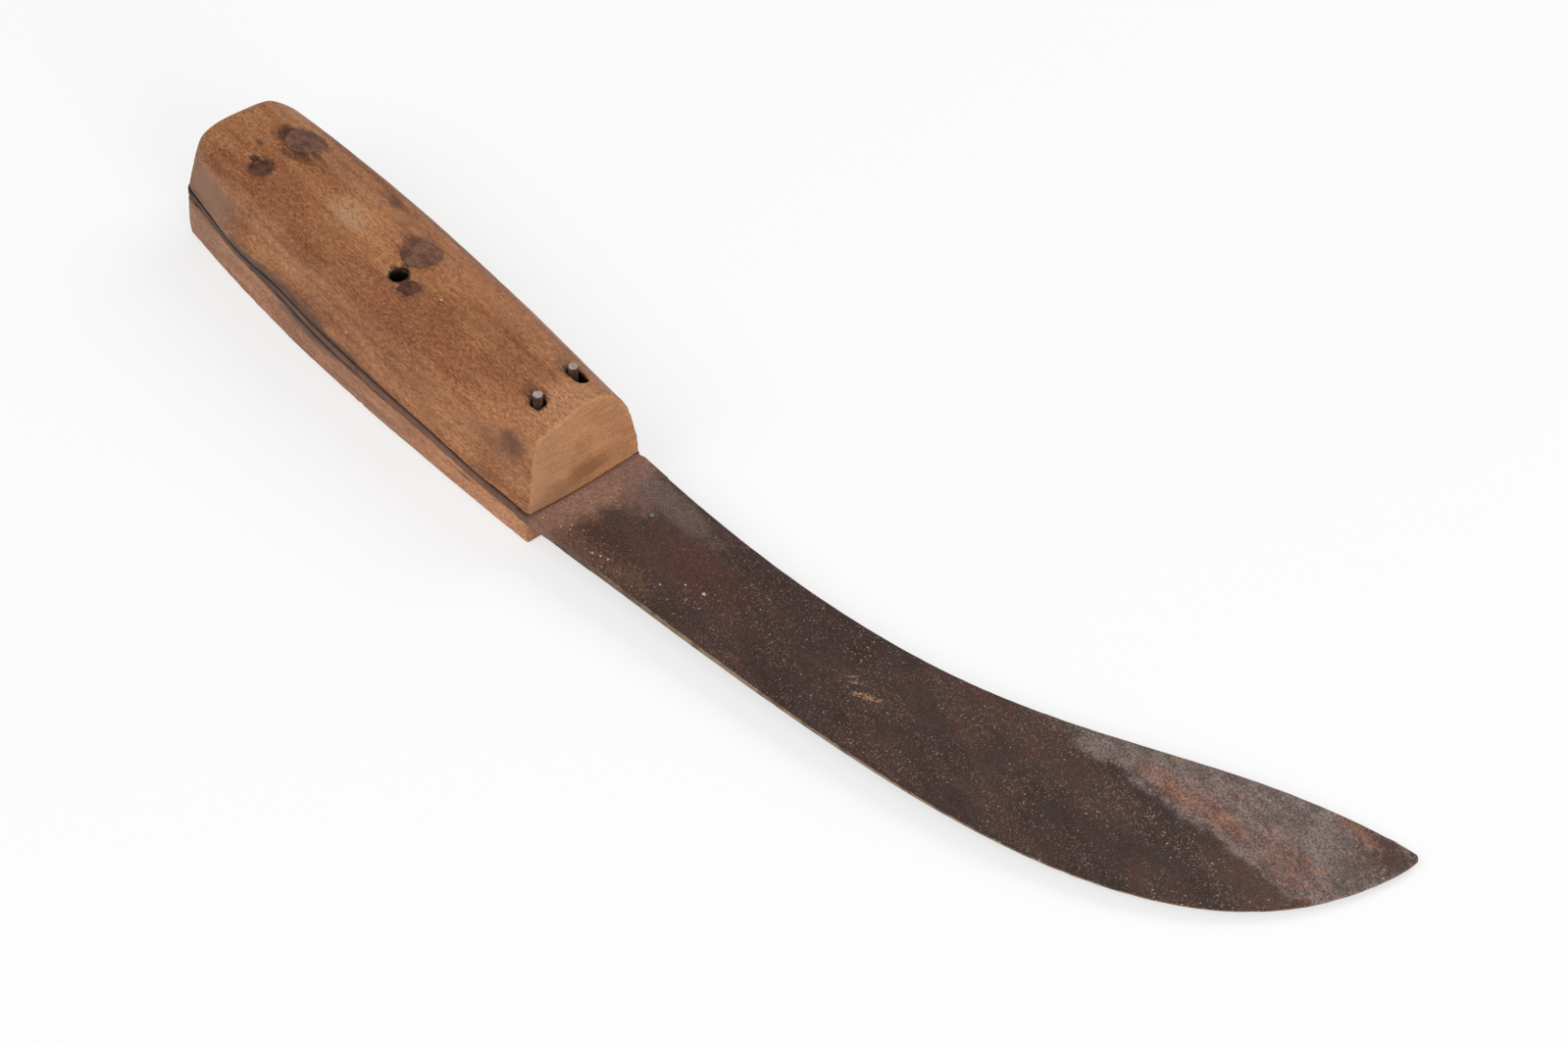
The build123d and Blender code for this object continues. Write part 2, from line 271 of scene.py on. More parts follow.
oldHole = middleNail + Vector((-3.8, 0.5))
upperWood = {
    "light": (178, 122, 80), "dark": (131, 78, 48), "drop": (0.0, 0.0),
    "line": 0.2, "halo": 2.9,                        # grime and painted shade at the seam, at the front and the butt
    "zones": [                                       # broad changes of the wood's colour
        {"at": (-58, 3, 22), "reach": (12, 14, 12), "colour": (162, 108, 72), "strength": 0.8},
        {"at": (-33, -5, 25), "reach": (18, 9, 9), "colour": (136, 80, 48), "strength": 0.75},
        {"at": (-14, 2, 26), "reach": (14, 6, 9), "colour": (182, 127, 86), "strength": 0.8},
        {"at": (-17, 1.4, 26), "reach": (8, 4.4, 9), "colour": (182, 140, 106), "strength": 0.6},
        {"at": (13, -8, 24), "reach": (28, 8, 9), "colour": (132, 76, 50), "strength": 0.75},
        {"at": (20, 8, 25), "reach": (24, 6, 9), "colour": (176, 116, 74), "strength": 0.65},
        {"at": (38, 0, 26), "reach": (9, 7, 9), "colour": (140, 86, 56), "strength": 0.5},
        {"at": (50, 0, 24), "reach": (7, 12, 9), "colour": (186, 134, 98), "strength": 0.8},
        {"at": (46, -8, 18), "reach": (16, 7, 12), "colour": (176, 120, 82), "strength": 0.7}],
    "stains": [                                      # grease, iron stains and marks
        {"at": (-48, -11, 17), "reach": (19, 5, 7), "colour": (140, 106, 84), "strength": 0.75},
        {"at": (-24, -15, 12.6), "reach": (26, 4, 4.2), "colour": (84, 56, 42), "strength": 0.8,
         "ragged": 0.3},
        {"at": (5, -16, 11), "reach": (26, 3, 2.5), "colour": (104, 68, 50), "strength": 0.5,
         "ragged": 0.35},
        {"at": (49, -11.5, 20.5), "reach": (5, 3.6, 4.5), "colour": (92, 62, 50), "strength": 0.85},
        {"at": (45, -12, 18), "reach": (10, 3, 5), "colour": (116, 78, 58), "strength": 0.5},
        {"at": (-45.2, 0.1, 26.6), "reach": (1.7, 0.9, 2), "colour": (84, 54, 38), "soft": 0.6},
        {"at": (-14.5, 10.8, 25.0), "reach": (5, 1.8, 3), "colour": (80, 52, 40), "ragged": 0.5},
        {"at": (-7.5, 7.4, 26.2), "reach": (2.1, 2.1, 3), "colour": (116, 70, 42), "strength": 0.55},
        {"at": (-15.5, -0.6, 26), "reach": (5.5, 2.2, 3), "colour": (176, 142, 116), "strength": 0.5,
         "soft": 1.0},
        {"at": (28, 1, 26), "reach": (13, 2.2, 4), "colour": (116, 70, 48), "strength": 0.4,
         "ragged": 0.4}],
    "irons": [                                       # black iron stain round each fastening
        {"at": (*rearRivet, topZ), "reach": (5.7, 5.2, 9), "strength": 0.8, "ragged": 0.2},
        {"at": (rearRivet.x + 6.2, rearRivet.y - 1.2, topZ), "reach": (5.6, 0.8, 9),
         "strength": 0.65, "ragged": 0.4, "soft": 0.8},
        {"at": (rearRivet.x + 3.2, rearRivet.y - 3.4, topZ), "reach": (4.2, 1.8, 9),
         "strength": 0.6, "ragged": 0.6, "soft": 0.6},
        {"at": (rearRivet.x + 0.8, rearRivet.y - 5.2, topZ), "reach": (3.4, 1.2, 9),
         "strength": 0.5, "ragged": 0.5, "soft": 0.8},
        {"at": (rearRivet.x - 3.8, rearRivet.y - 1.4, topZ), "reach": (3.8, 3.2, 9), "strength": 0.75,
         "ragged": 0.4, "soft": 0.6},
        {"at": (*middleRivet, topZ), "reach": (5.7, 5.2, 9), "strength": 0.8, "ragged": 0.2,
         "soft": 0.5},
        {"at": (middleRivet.x - 3.5, middleRivet.y + 1.5, topZ), "reach": (4.6, 3.2, 9),
         "strength": 0.5, "ragged": 0.4, "soft": 0.8},
        {"at": (*rearNail, topZ), "reach": (3.7, 3.4, 9), "strength": 0.85, "ragged": 0.25,
         "soft": 0.5},
        {"at": (rearNail.x - 2.7, rearNail.y + 0.6, topZ), "reach": (1.8, 1.1, 9), "strength": 0.8},
        {"at": (middleNail.x + 0.8, middleNail.y - 0.6, topZ), "reach": (4.2, 3.9, 9),
         "strength": 0.6, "ragged": 0.2, "soft": 0.8},
        {"at": (*oldHole, topZ), "reach": (3.2, 2.9, 9), "strength": 0.95, "ragged": 0.25},
        # round each pin an iron stain, and off to its -X side a halo that is partly stain and partly a
        # painted shadow of the standing pin
        {"at": (*edgePin, topZ), "reach": (2.7, 2.4, 9), "strength": 0.85, "ragged": 0.3},
        {"at": (edgePin.x - 2.4, edgePin.y + 0.6, topZ), "reach": (4.6, 3.0, 9), "strength": 0.5,
         "ragged": 0.4, "soft": 1.0},
        {"at": (*spinePin, topZ), "reach": (2.7, 2.4, 9), "strength": 0.85, "ragged": 0.3},
        {"at": (spinePin.x - 2.2, spinePin.y, topZ), "reach": (4.6, 2.8, 9), "strength": 0.5,
         "ragged": 0.4, "soft": 1.0}],
    "iron": (50, 33, 27), "chip": (206, 150, 104), "seamGrimeAndShade": (40, 27, 22),
    "endLight": (206, 149, 106), "endDark": (158, 104, 67), "endEdge": (126, 84, 54),
    "endGrey": (180, 138, 108)}
lowerWood = {
    "light": (186, 132, 94), "dark": (144, 92, 62), "drop": (handle["tang"], handle["tangButt"]),
    "line": 0.02, "halo": 2.6,
    "zones": [
        {"at": (-52, 0, 8), "reach": (16, 30, 9), "colour": (138, 100, 76), "strength": 0.8},
        {"at": (-10, 0, 6), "reach": (30, 30, 9), "colour": (156, 106, 76), "strength": 0.6},
        {"at": (40, 0, 5), "reach": (26, 30, 9), "colour": (212, 145, 96), "strength": 0.75}],
    "stains": [
        {"at": (-12, -15, 8.4), "reach": (20, 3, 3.4), "colour": (96, 66, 54), "strength": 0.8,
         "ragged": 0.3},
        {"at": (38, -14.5, 6.2), "reach": (6, 3, 0.8), "colour": (84, 52, 38), "ragged": 0.4},
        {"at": (8, -15, 3), "reach": (16, 3, 1.2), "colour": (122, 82, 58), "strength": 0.6},
        {"at": (0, 9, 0), "reach": (30, 5, 3), "colour": (114, 78, 56), "strength": 0.5}],
    "irons": [
        {"at": (*rearRivet, 0), "reach": (7, 6.2, 5), "strength": 0.85, "ragged": 0.3},
        {"at": (*middleRivet, 0), "reach": (6.6, 6.0, 5), "strength": 0.85, "ragged": 0.3}],
    "iron": (50, 33, 27), "chip": (208, 156, 112), "seamGrimeAndShade": (40, 27, 22),
    "endLight": (190, 136, 96), "endDark": (160, 108, 72), "endEdge": (150, 101, 68),
    "endGrey": (178, 134, 104)}
# the last colour is the black of the painted shade inside holes
grainLook = {"dash": (92, 50, 30), "glint": (214, 152, 98), "dot": (222, 190, 160),    # on both scales
             "hole": (24, 13, 10)}


def makeWood(name, look):
    material, tree, place = startMaterial(name)
    along, across, _ = addNode(tree, "SeparateXYZ", {0: place}).outputs
    figure = useGroup(tree, woodFigure, {"Place": place})
    clouds = mottled(tree, place, (20.0, 7.0, 7.0), 3.0)
    tone = plus(tree, times(tree, figure["Streaks"], 0.55), times(tree, clouds, 0.45))
    wood = layer(tree, tone, paint(*look["dark"]), paint(*look["light"]))
    for zone in look["zones"]:
        wood = patchOver(tree, place, wood, zone)
    wood = shaded(tree, wood, spread(tree, figure["Flecks"], 0.0, 1.0, 0.7, 1.25))
    wood = layer(tree, times(tree, figure["Dashes"], 0.52), wood, paint(*grainLook["dash"]))
    wood = layer(tree, times(tree, figure["Glints"], 0.38), wood, paint(*grainLook["glint"]))
    wood = dotsOver(tree, place, wood, grainLook["dot"], 0.7, cell=6.5, share=0.5, dot=0.05)

    # The scraped end grain of the front, with a darker band near its foot
    facing = vectors(tree, "DOT_PRODUCT", addNode(tree, "NewGeometry").outputs["Normal"], tuple(frontOut))
    front = times(tree, spread(tree, fromFoot(tree, place, frontOut), -0.32, -0.12),
                  spread(tree, facing, 0.7, 0.93))
    pricks = mottled(tree, place, (0.5, 0.34, 0.34), 3.0, 0.3, 0.7)
    scrapes = mottled(tree, place, (6.0, 5.0, 0.16), 2.0, 0.35, 0.65)
    wide = mottled(tree, place, (9.0, 6.0, 6.0), 3.0)
    endTone = plus(tree, times(tree, pricks, 0.5), plus(tree, times(tree, scrapes, 0.42),
                                                        times(tree, wide, 0.25)))
    endGrain = layer(tree, endTone, paint(*look["endDark"]), paint(*look["endLight"]))
    above = fromFoot(tree, place, seamUp)
    slanted = plus(tree, above, plus(tree, wide, times(tree, across, -0.14)))
    lowBand = times(tree, spread(tree, slanted, 6.4, 3.8), spread(tree, slanted, 0.8, 2.6))
    lowBand = times(tree, lowBand, spread(tree, across, 9.0, 2.0, 0.25, 1.0))
    endGrain = layer(tree, times(tree, lowBand, 0.6), endGrain, paint(*look["endEdge"]))
    endGrain = layer(tree, spread(tree, across, 1.0, -12.0, 0.0, 0.45), endGrain,
                     paint(*look["endGrey"]))
    wood = layer(tree, front, wood, endGrain)

    # Knocked edges show paler wood, and stains lie over it
    wood = layer(tree, times(tree, markOf(tree, "chip"), 0.28), wood, paint(*look["chip"]))
    for stain in look["stains"]:
        wood = patchOver(tree, place, wood, stain)
    for iron in look["irons"]:
        wood = patchOver(tree, place, wood, {"colour": look["iron"], "soft": 0.38,
                                             "rag": (1.3, 0.5, 0.8), **iron})

    # Grime and painted shade along the seam with the tang, worse towards the butt
    drop = addNode(tree, "MapRange", {"Value": along, "From Min": frontX - handle["tangLap"],
                                      "From Max": buttX, "To Min": look["drop"][0],
                                      "To Max": look["drop"][1]}).outputs["Result"]
    fromSeam = maths(tree, "ABSOLUTE", plus(tree, above, drop))
    ragged = plus(tree, 0.5, mottled(tree, place, (5.0, 3.0, 1.0), 4.0, 0.2, 0.8))
    halo = times(tree, spread(tree, along, 30.0, -12.0, look["line"], look["halo"]), ragged)
    seam = spread(tree, fromSeam, plus(tree, 0.12, halo), 0.05)
    seam = times(tree, seam, minus(tree, 1.0, times(tree, front, 0.6)))
    seam = times(tree, seam, spread(tree, along, -50.0, -20.0, 0.55, 1.0))
    wood = layer(tree, times(tree, seam, 0.85), wood, paint(*look["seamGrimeAndShade"]))
    # inside the holes, painted shade: black below the rim
    wood = layer(tree, markOf(tree, "holeShade"), wood, paint(*grainLook["hole"]))

    roughness = minus(tree, plus(tree, 0.56, times(tree, front, 0.22)),
                      times(tree, figure["Streaks"], 0.1))
    relief = minus(tree, times(tree, figure["Flecks"], 0.6), times(tree, figure["Dashes"], 0.7))
    endRelief = times(tree, plus(tree, pricks, scrapes), 1.2)
    relief = addNode(tree, "Mix", {0: front, 2: relief, 3: endRelief}).outputs[0]
    return dress(material, {"Base Color": wood, "Roughness": roughness, "Specular IOR Level": 0.25},
                 relief, 0.07, 0.7)


upperMaterial = makeWood("worn beech, upper", upperWood)
lowerMaterial = makeWood("worn beech, lower", lowerWood)
print("wood finishes made")

# The steel of the blade
bladeLook = {
    "dark": (54, 36, 30), "brown": (76, 50, 40), "cool": (62, 48, 45), "grain": (0.7, 1.34),
    "tangFront": (112, 76, 58), "tangMiddle": (110, 76, 60), "tangButt": (74, 50, 39),
    "shadow": (62, 40, 31),
    "zones": [
        # the first two zones paint the root pinkish, a painted reflection of the handle's wooden front
        {"at": (58, 2, 9), "reach": (9, 30, 12), "colour": (142, 104, 88), "soft": 0.6,
         "strength": 0.85, "ragged": 0.22, "rag": (3.0, 3.0, 3.0)},
        {"at": (64, 7, 9), "reach": (10, 8, 12), "colour": (124, 92, 78), "soft": 0.7,
         "strength": 0.6, "ragged": 0.35, "rag": (2.5, 2.5, 3.0)},
        {"at": (72, 9.5, 8), "reach": (17, 5, 9), "colour": (100, 82, 78), "strength": 0.8,
         "ragged": 0.35},
        {"at": (72, -7, 8), "reach": (13, 6, 9), "colour": (66, 38, 28), "strength": 0.7},
        {"at": (68, -11, 8), "reach": (12, 4.5, 9), "colour": (112, 80, 60), "strength": 0.4,
         "ragged": 0.7, "rag": (1.3, 1.0, 1.6)},
        {"at": (80, -8.5, 8), "reach": (9, 3.6, 9), "colour": (112, 80, 58), "strength": 0.35,
         "ragged": 0.7, "rag": (1.1, 0.9, 1.5)},
        {"at": (88, 2, 7), "reach": (20, 8, 9), "colour": (82, 46, 36), "strength": 0.6,
         "ragged": 0.4},
        {"at": (205, 32, 3), "reach": (16, 5, 9), "colour": (84, 60, 48), "strength": 0.5}],
    # past this crease line the face is painted pale, a painted reflection, in these paler and darker
    # tones
    "sheenCrease": {"from": (150, 26.4), "rise": 0.13, "soft": 3.2, "pale": (136, 121, 116),
               "shade": (84, 69, 64)},
    "rust": (158, 110, 92), "rustDark": (98, 64, 51),
    "rusts": [
        {"at": (178, 34.6, 4), "reach": (13, 3.4, 9), "ragged": 0.3, "strength": 0.9},
        {"at": (189, 37.0, 4), "reach": (14, 4.6, 9), "ragged": 0.45, "strength": 0.85},
        {"at": (202, 39.0, 3), "reach": (13, 6.0, 9), "ragged": 0.6, "strength": 0.7},
        {"at": (205, 54.0, 3), "reach": (9, 2.8, 9), "ragged": 0.45, "strength": 0.7},
        {"at": (211, 51, 3), "reach": (5, 4.5, 9), "ragged": 0.6, "strength": 0.6},
        {"at": (186, 43, 3), "reach": (9, 2.5, 9), "ragged": 0.7, "strength": 0.35}],
    "tips": [                                        # dark again at the very tip and its edge
        {"at": (213, 54, 2), "reach": (9.5, 6.5, 9), "colour": (72, 50, 42), "strength": 0.9,
         "ragged": 0.6, "rag": (1.6, 1.3, 2.0)},
        {"at": (211, 47.5, 2), "reach": (4.5, 6, 9), "colour": (88, 70, 63), "strength": 0.75,
         "ragged": 0.5, "rag": (1.6, 1.3, 2.0)},
        {"at": (206, 53.5, 2), "reach": (6, 1.6, 9), "colour": (136, 92, 72), "strength": 0.5,
         "ragged": 0.7, "rag": (1.2, 1.0, 2.0)}],
    "slant": 48.0,                                   # the way that the scratches run
    "scratches": [                                   # at and reach, along the slant and across it
        {"at": (126.4, 5.3), "reach": (1.1, 0.5), "colour": (170, 128, 90)},
        {"at": (127.6, 6.2), "reach": (1.6, 0.55), "colour": (186, 138, 96)},
        {"at": (129.0, 6.7), "reach": (1.9, 0.8), "colour": (190, 142, 100)},
        {"at": (130.4, 7.4), "reach": (1.5, 0.6), "colour": (176, 132, 92)},
        {"at": (124.6, 6.9), "reach": (1.6, 0.5), "colour": (168, 142, 116)},
        {"at": (123.4, 7.6), "reach": (1.2, 0.4), "colour": (160, 136, 112)},
        {"at": (174.6, 40.6), "reach": (3.0, 1.1), "colour": (136, 110, 76)},
        {"at": (181.3, 38.6), "reach": (1.6, 0.9), "colour": (140, 112, 80)}],
    "flecks": [                                      # single pale spots
        (91.6, -0.4, 0.5), (71.0, -10.0, 0.26), (72.6, -9.3, 0.3), (74.1, -8.8, 0.3),
        (62.4, -10.4, 0.22), (63.4, -8.6, 0.24), (64.0, -9.6, 0.2), (87.8, -1.6, 0.3),
        (84.8, -5.2, 0.26), (90.6, -4.0, 0.22), (93.6, -3.4, 0.22), (58.6, -11.6, 0.26)],
    "grits": [                                       # cell, share, dot, shift, colour, strength
        (0.9, 0.42, 0.26, (0.0, 0.0, 0.0), (172, 158, 142), 0.8),
        (0.5, 0.8, 0.36, (7.0, 3.0, 1.0), (146, 126, 108), 0.8),
        (1.5, 0.25, 0.15, (3.0, 9.0, 4.0), (196, 182, 166), 0.85),
        (0.42, 0.7, 0.34, (21.0, 2.0, 6.0), (150, 132, 116), 0.7),
        (0.7, 0.6, 0.36, (13.0, 5.0, 8.0), (132, 92, 66), 0.65)],
    "crumbs": [                                      # rust and grit crusted near the heel
        {"at": (76, -10, 8), "reach": (16, 5.5, 9), "colour": (168, 126, 94)},
        {"at": (61, -4, 9), "reach": (8, 12, 9), "colour": (168, 134, 114)},
        {"at": (190, 26, 3), "reach": (26, 5, 9), "colour": (150, 134, 118)}],
    "verdigris": (70.8, 4.7, 0.5), "green": (108, 146, 126), "fleck": (222, 202, 178),
    # the last colour here is the painted highlight along the cutting edge
    "dirt": (34, 23, 19), "edgeHighlight": (170, 146, 114)}


def makeSteel():
    look = bladeLook
    material, tree, place = startMaterial("patinated blade steel")
    along, across, _ = addNode(tree, "SeparateXYZ", {0: place}).outputs
    big = mottled(tree, place, (24.0, 9.0, 22.0), 4.0)
    small = mottled(tree, place, (4.2, 2.6, 3.6), 6.0)
    fine = mottled(tree, place, (0.46, 0.4, 0.44), 4.0, 0.28, 0.72)
    steel = layer(tree, big, paint(*look["dark"]), paint(*look["brown"]))
    steel = layer(tree, times(tree, small, 0.6), steel, paint(*look["cool"]))
    for zone in look["zones"]:
        steel = patchOver(tree, place, steel, {"rag": (3.0, 2.0, 3.0), **zone})

    # Beyond the crease the face is painted paler, a painted reflection of the backdrop on the bent blade,
    # with red rust beside it
    sheenCrease = look["sheenCrease"]
    startX, startY = sheenCrease["from"]
    line = minus(tree, across, plus(tree, startY, times(tree, minus(tree, along, startX),
                                                        sheenCrease["rise"])))
    past = plus(tree, line, times(tree, minus(tree, small, 0.5), 2.2))
    sheenMask = times(tree, spread(tree, past, -0.6, sheenCrease["soft"]), spread(tree, along, 142.0, 166.0))
    blotches = times(tree, plus(tree, fine, small), 0.5)
    sheenTone = layer(tree, blotches, paint(*sheenCrease["shade"]), paint(*sheenCrease["pale"]))
    steel = layer(tree, times(tree, sheenMask, 0.85), steel, sheenTone)
    rustTone = layer(tree, blotches, paint(*look["rustDark"]), paint(*look["rust"]))
    rusty = 0.0
    for patch in look["rusts"]:
        mask = patchMask(tree, place, {"soft": 0.85, "rag": (2.4, 1.7, 2.0), **patch})
        rusty = maths(tree, "MAXIMUM", rusty, times(tree, mask, patch["strength"]))
    rustFleck = mottled(tree, place, (1.7, 1.2, 1.4), 5.0, 0.34, 0.6)
    rusty = times(tree, rusty, spread(tree, rustFleck, 0.0, 1.0, 0.45, 1.0))
    steel = layer(tree, rusty, steel, rustTone)
    for patch in look["tips"]:
        steel = patchOver(tree, place, steel, patch)

    # The surface's own grain, then dots of grit, scale and dirt
    steel = shaded(tree, steel, spread(tree, fine, 0.0, 1.0, *look["grain"]))
    field = spread(tree, mottled(tree, place, (11.0, 6.0, 9.0), 4.0, 0.34, 0.6), 0.0, 1.0, 0.3, 1.0)
    field = times(tree, field, spread(tree, along, 60.0, 120.0, 0.35, 1.0))
    for cell, share, dot, shift, colour, strength in look["grits"]:
        mask = times(tree, dotMask(tree, place, cell, share, dot, shift), times(tree, field, strength))
        steel = layer(tree, mask, steel, paint(*colour))
    for crumbs in look["crumbs"]:
        there = patchMask(tree, place, {"soft": 0.7, "ragged": 0.5, "rag": (2.5, 1.6, 2.0), **crumbs})
        for cell, shift in ((0.45, (5.0, 1.0, 2.0)), (0.8, (9.0, 6.0, 3.0))):
            mask = times(tree, dotMask(tree, place, cell, 0.75, 0.34, shift), times(tree, there, 0.75))
            steel = layer(tree, mask, steel, paint(*crumbs["colour"]))
    steel = dotsOver(tree, place, steel, look["dirt"], 0.4, cell=0.6, share=0.5, dot=0.36,
                     shift=(31.0, 17.0, 5.0))

    # Scratches run across, at the slant
    slant = math.radians(look["slant"])
    turned = addNode(tree, "Mapping", {"Vector": place, "Rotation": (0, 0, -slant)},
                     vector_type="POINT").outputs[0]
    for scratch in look["scratches"]:
        x, y = scratch["at"]
        at = (x * math.cos(slant) + y * math.sin(slant), y * math.cos(slant) - x * math.sin(slant), 6)
        mask = patchMask(tree, turned, {"at": at, "reach": (*scratch["reach"], 9), "soft": 1.0,
                                        "ragged": 1.0, "rag": (0.5, 0.3, 0.6)})
        mask = times(tree, mask, spread(tree, fine, 0.25, 0.7, 0.1, 0.95))
        steel = layer(tree, mask, steel, paint(*scratch["colour"]))
    spots = [(*fleck, look["fleck"], 0.7) for fleck in look["flecks"]]
    for x, y, size, colour, soft in spots + [(*look["verdigris"], look["green"], 0.6)]:
        steel = patchOver(tree, place, steel, {"at": (x, y, 8), "reach": (size, size, 4),
                                               "colour": colour, "soft": soft, "rag": (0.3, 0.3, 0.3)})

    # The cutting edge is painted brighter, a painted highlight on its bevel
    keen = times(tree, spread(tree, along, 62.0, 100.0), spread(tree, small, 0.0, 0.8, 0.35, 1.0))
    keen = times(tree, spread(tree, markOf(tree, "edge"), 0.35, 0.75), keen)
    steel = layer(tree, times(tree, keen, 0.6), steel, paint(*look["edgeHighlight"]))

    # Between the scales the tang's edges have a tone of their own, darkest at the butt, and a painted
    # shadow along their top under the upper scale
    held = spread(tree, along, frontX + 1.5, frontX - 1.0)
    tangToneAndShadow = layer(tree, spread(tree, along, 20.0, -8.0), paint(*look["tangFront"]),
                   paint(*look["tangMiddle"]))
    tangToneAndShadow = layer(tree, spread(tree, along, -12.0, -32.0), tangToneAndShadow, paint(*look["tangButt"]))
    dull = plus(tree, times(tree, small, 0.7), times(tree, fine, 0.3))
    tangToneAndShadow = shaded(tree, tangToneAndShadow, spread(tree, dull, 0.0, 1.0, 0.78, 1.16))
    tangToneAndShadow = layer(tree, spread(tree, fromFoot(tree, place, seamUp), -0.75, -0.2, 0.0, 0.6), tangToneAndShadow,
                   paint(*look["shadow"]))
    steel = layer(tree, held, steel, tangToneAndShadow)

    roughness = plus(tree, 0.52, times(tree, plus(tree, fine, rusty), 0.15))
    relief = plus(tree, times(tree, fine, 0.4), times(tree, small, 0.8))
    return dress(material, {"Base Color": steel, "Roughness": roughness, "Specular IOR Level": 0.26},
                 relief, 0.06, 0.8)


steelMaterial = makeSteel()
print("blade finish made")

# The rusty iron of the fastenings
rivetLook = {"dark": (94, 61, 47), "brown": (120, 82, 62), "grey": (136, 104, 88), "greyness": 0.4,
             "rim": (44, 28, 22), "rimmed": 0.9}
nailLook = {"dark": (72, 44, 33), "brown": (102, 64, 47), "grey": (112, 74, 56), "greyness": 0.25,
            "rim": (38, 24, 19), "rimmed": 0.9}
wireLook = {"dark": (92, 64, 51), "brown": (134, 100, 78), "grey": (150, 130, 116), "greyness": 0.35,
            "rim": (58, 41, 34), "rimmed": 0.6, "worn": (178, 166, 158)}
ironDots = (150, 112, 86)                            # rust specks on all of them


def makeIron(name, look, wornTop=None):
    material, tree, place = startMaterial(name)
    lumps = mottled(tree, place, (2.2, 1.8, 1.8), 5.0)
    fine = mottled(tree, place, (0.4, 0.34, 0.34), 3.0, 0.3, 0.7)
    iron = layer(tree, lumps, paint(*look["dark"]), paint(*look["brown"]))
    iron = layer(tree, times(tree, times(tree, fine, lumps), look["greyness"]), iron,
                 paint(*look["grey"]))
    iron = shaded(tree, iron, spread(tree, fine, 0.0, 1.0, 0.86, 1.14))
    iron = dotsOver(tree, place, iron, ironDots, 0.3, cell=0.7, share=0.2, dot=0.22)
    rim = markOf(tree, "rim")
    torn = mottled(tree, place, (0.9, 0.7, 0.7), 4.0, 0.2, 0.8)
    dirty = spread(tree, plus(tree, rim, times(tree, torn, 0.5)), 0.35, 1.15)
    iron = layer(tree, times(tree, dirty, look["rimmed"]), iron, paint(*look["rim"]))
    if wornTop:                                      # the cut end is rubbed to bare grey
        height = addNode(tree, "SeparateXYZ", {0: place}).outputs["Z"]
        bare = spread(tree, plus(tree, height, times(tree, fine, 0.1)), wornTop - 0.12, wornTop)
        bare = times(tree, bare, spread(tree, rim, 0.85, 0.45))
        blotches = spread(tree, plus(tree, lumps, fine), 0.2, 1.6, 0.7, 1.08)
        pale = shaded(tree, paint(*look["worn"]), blotches)
        iron = layer(tree, times(tree, bare, 0.9), iron, pale)
    roughness = plus(tree, 0.5, times(tree, fine, 0.2))
    relief = plus(tree, lumps, times(tree, fine, 0.4))
    return dress(material, {"Base Color": iron, "Roughness": roughness, "Specular IOR Level": 0.2},
                 relief, 0.1, 0.9)


rivetMaterial = makeIron("rusty rivet iron", rivetLook)
nailMaterial = makeIron("rusty nail iron", nailLook)
print("iron finishes made")


def addObject(name, data):
    thing = bpy.data.objects.new(name, data)
    bpy.context.scene.collection.objects.link(thing)
    return thing


def meshOf(bm, name):
    mesh = bpy.data.meshes.new(name)
    bm.to_mesh(mesh)
    bm.free()
    return mesh


def cutAt(bm, at, way, dist, **options):             # a plane across the whole shape
    bmesh.ops.bisect_plane(bm, geom=bm.verts[:] + bm.edges[:] + bm.faces[:], dist=dist,
                           plane_co=at, plane_no=way, **options)


def copyOf(node):                                    # the construction's solid, merged
    bm = bmesh.new()
    bm.from_mesh(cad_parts[node].data)
    bmesh.ops.remove_doubles(bm, verts=bm.verts, dist=0.0005 * mm)
    bmesh.ops.recalc_face_normals(bm, faces=bm.faces)
    return bm


def headOf(node, depth):                             # the top of a fastening, closed below
    bm = copyOf(node)
    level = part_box(node)[1].z - depth * mm
    cutAt(bm, (0, 0, level), (0, 0, 1), 0.0001 * mm, clear_inner=True)
    bmesh.ops.holes_fill(bm, edges=bm.edges, sides=0)
    return meshOf(bm, "head")


def evenly(bm, voxel):                               # the same form in small even quads
    blank = addObject("blank", bpy.data.meshes.new("blank"))
    bm.to_mesh(blank.data)
    remesh = blank.modifiers.new("even", "REMESH")
    remesh.mode, remesh.voxel_size = "VOXEL", voxel * mm
    shaped = bpy.data.meshes.new_from_object(blank.evaluated_get(
        bpy.context.evaluated_depsgraph_get()))
    bpy.data.objects.remove(blank)
    bm.clear()
    bm.from_mesh(shaped)
    bpy.data.meshes.remove(shaped)
    bm.normal_update()
    bm.verts.ensure_lookup_table()
    return bm


def treeOf(verts):                                   # finds vertices near a place
    tree = KDTree(len(verts))
    for index, vert in enumerate(verts):
        tree.insert(vert.co, index)
    tree.balance()
    return tree


def scoop(bm, tree, marks, at, out, radius, depth):  # carves a round hollow into the surface
    centre = at + out * (radius - depth) * mm
    for _, index, _ in tree.find_range(centre, radius * mm):
        vert = bm.verts[index]
        away = vert.co - centre
        if 0 < away.length < radius * mm:
            moved = radius * mm - away.length
            vert.co = centre + away.normalized() * radius * mm
            marks[index] = max(marks[index], min(1.0, moved / (0.14 * mm)))


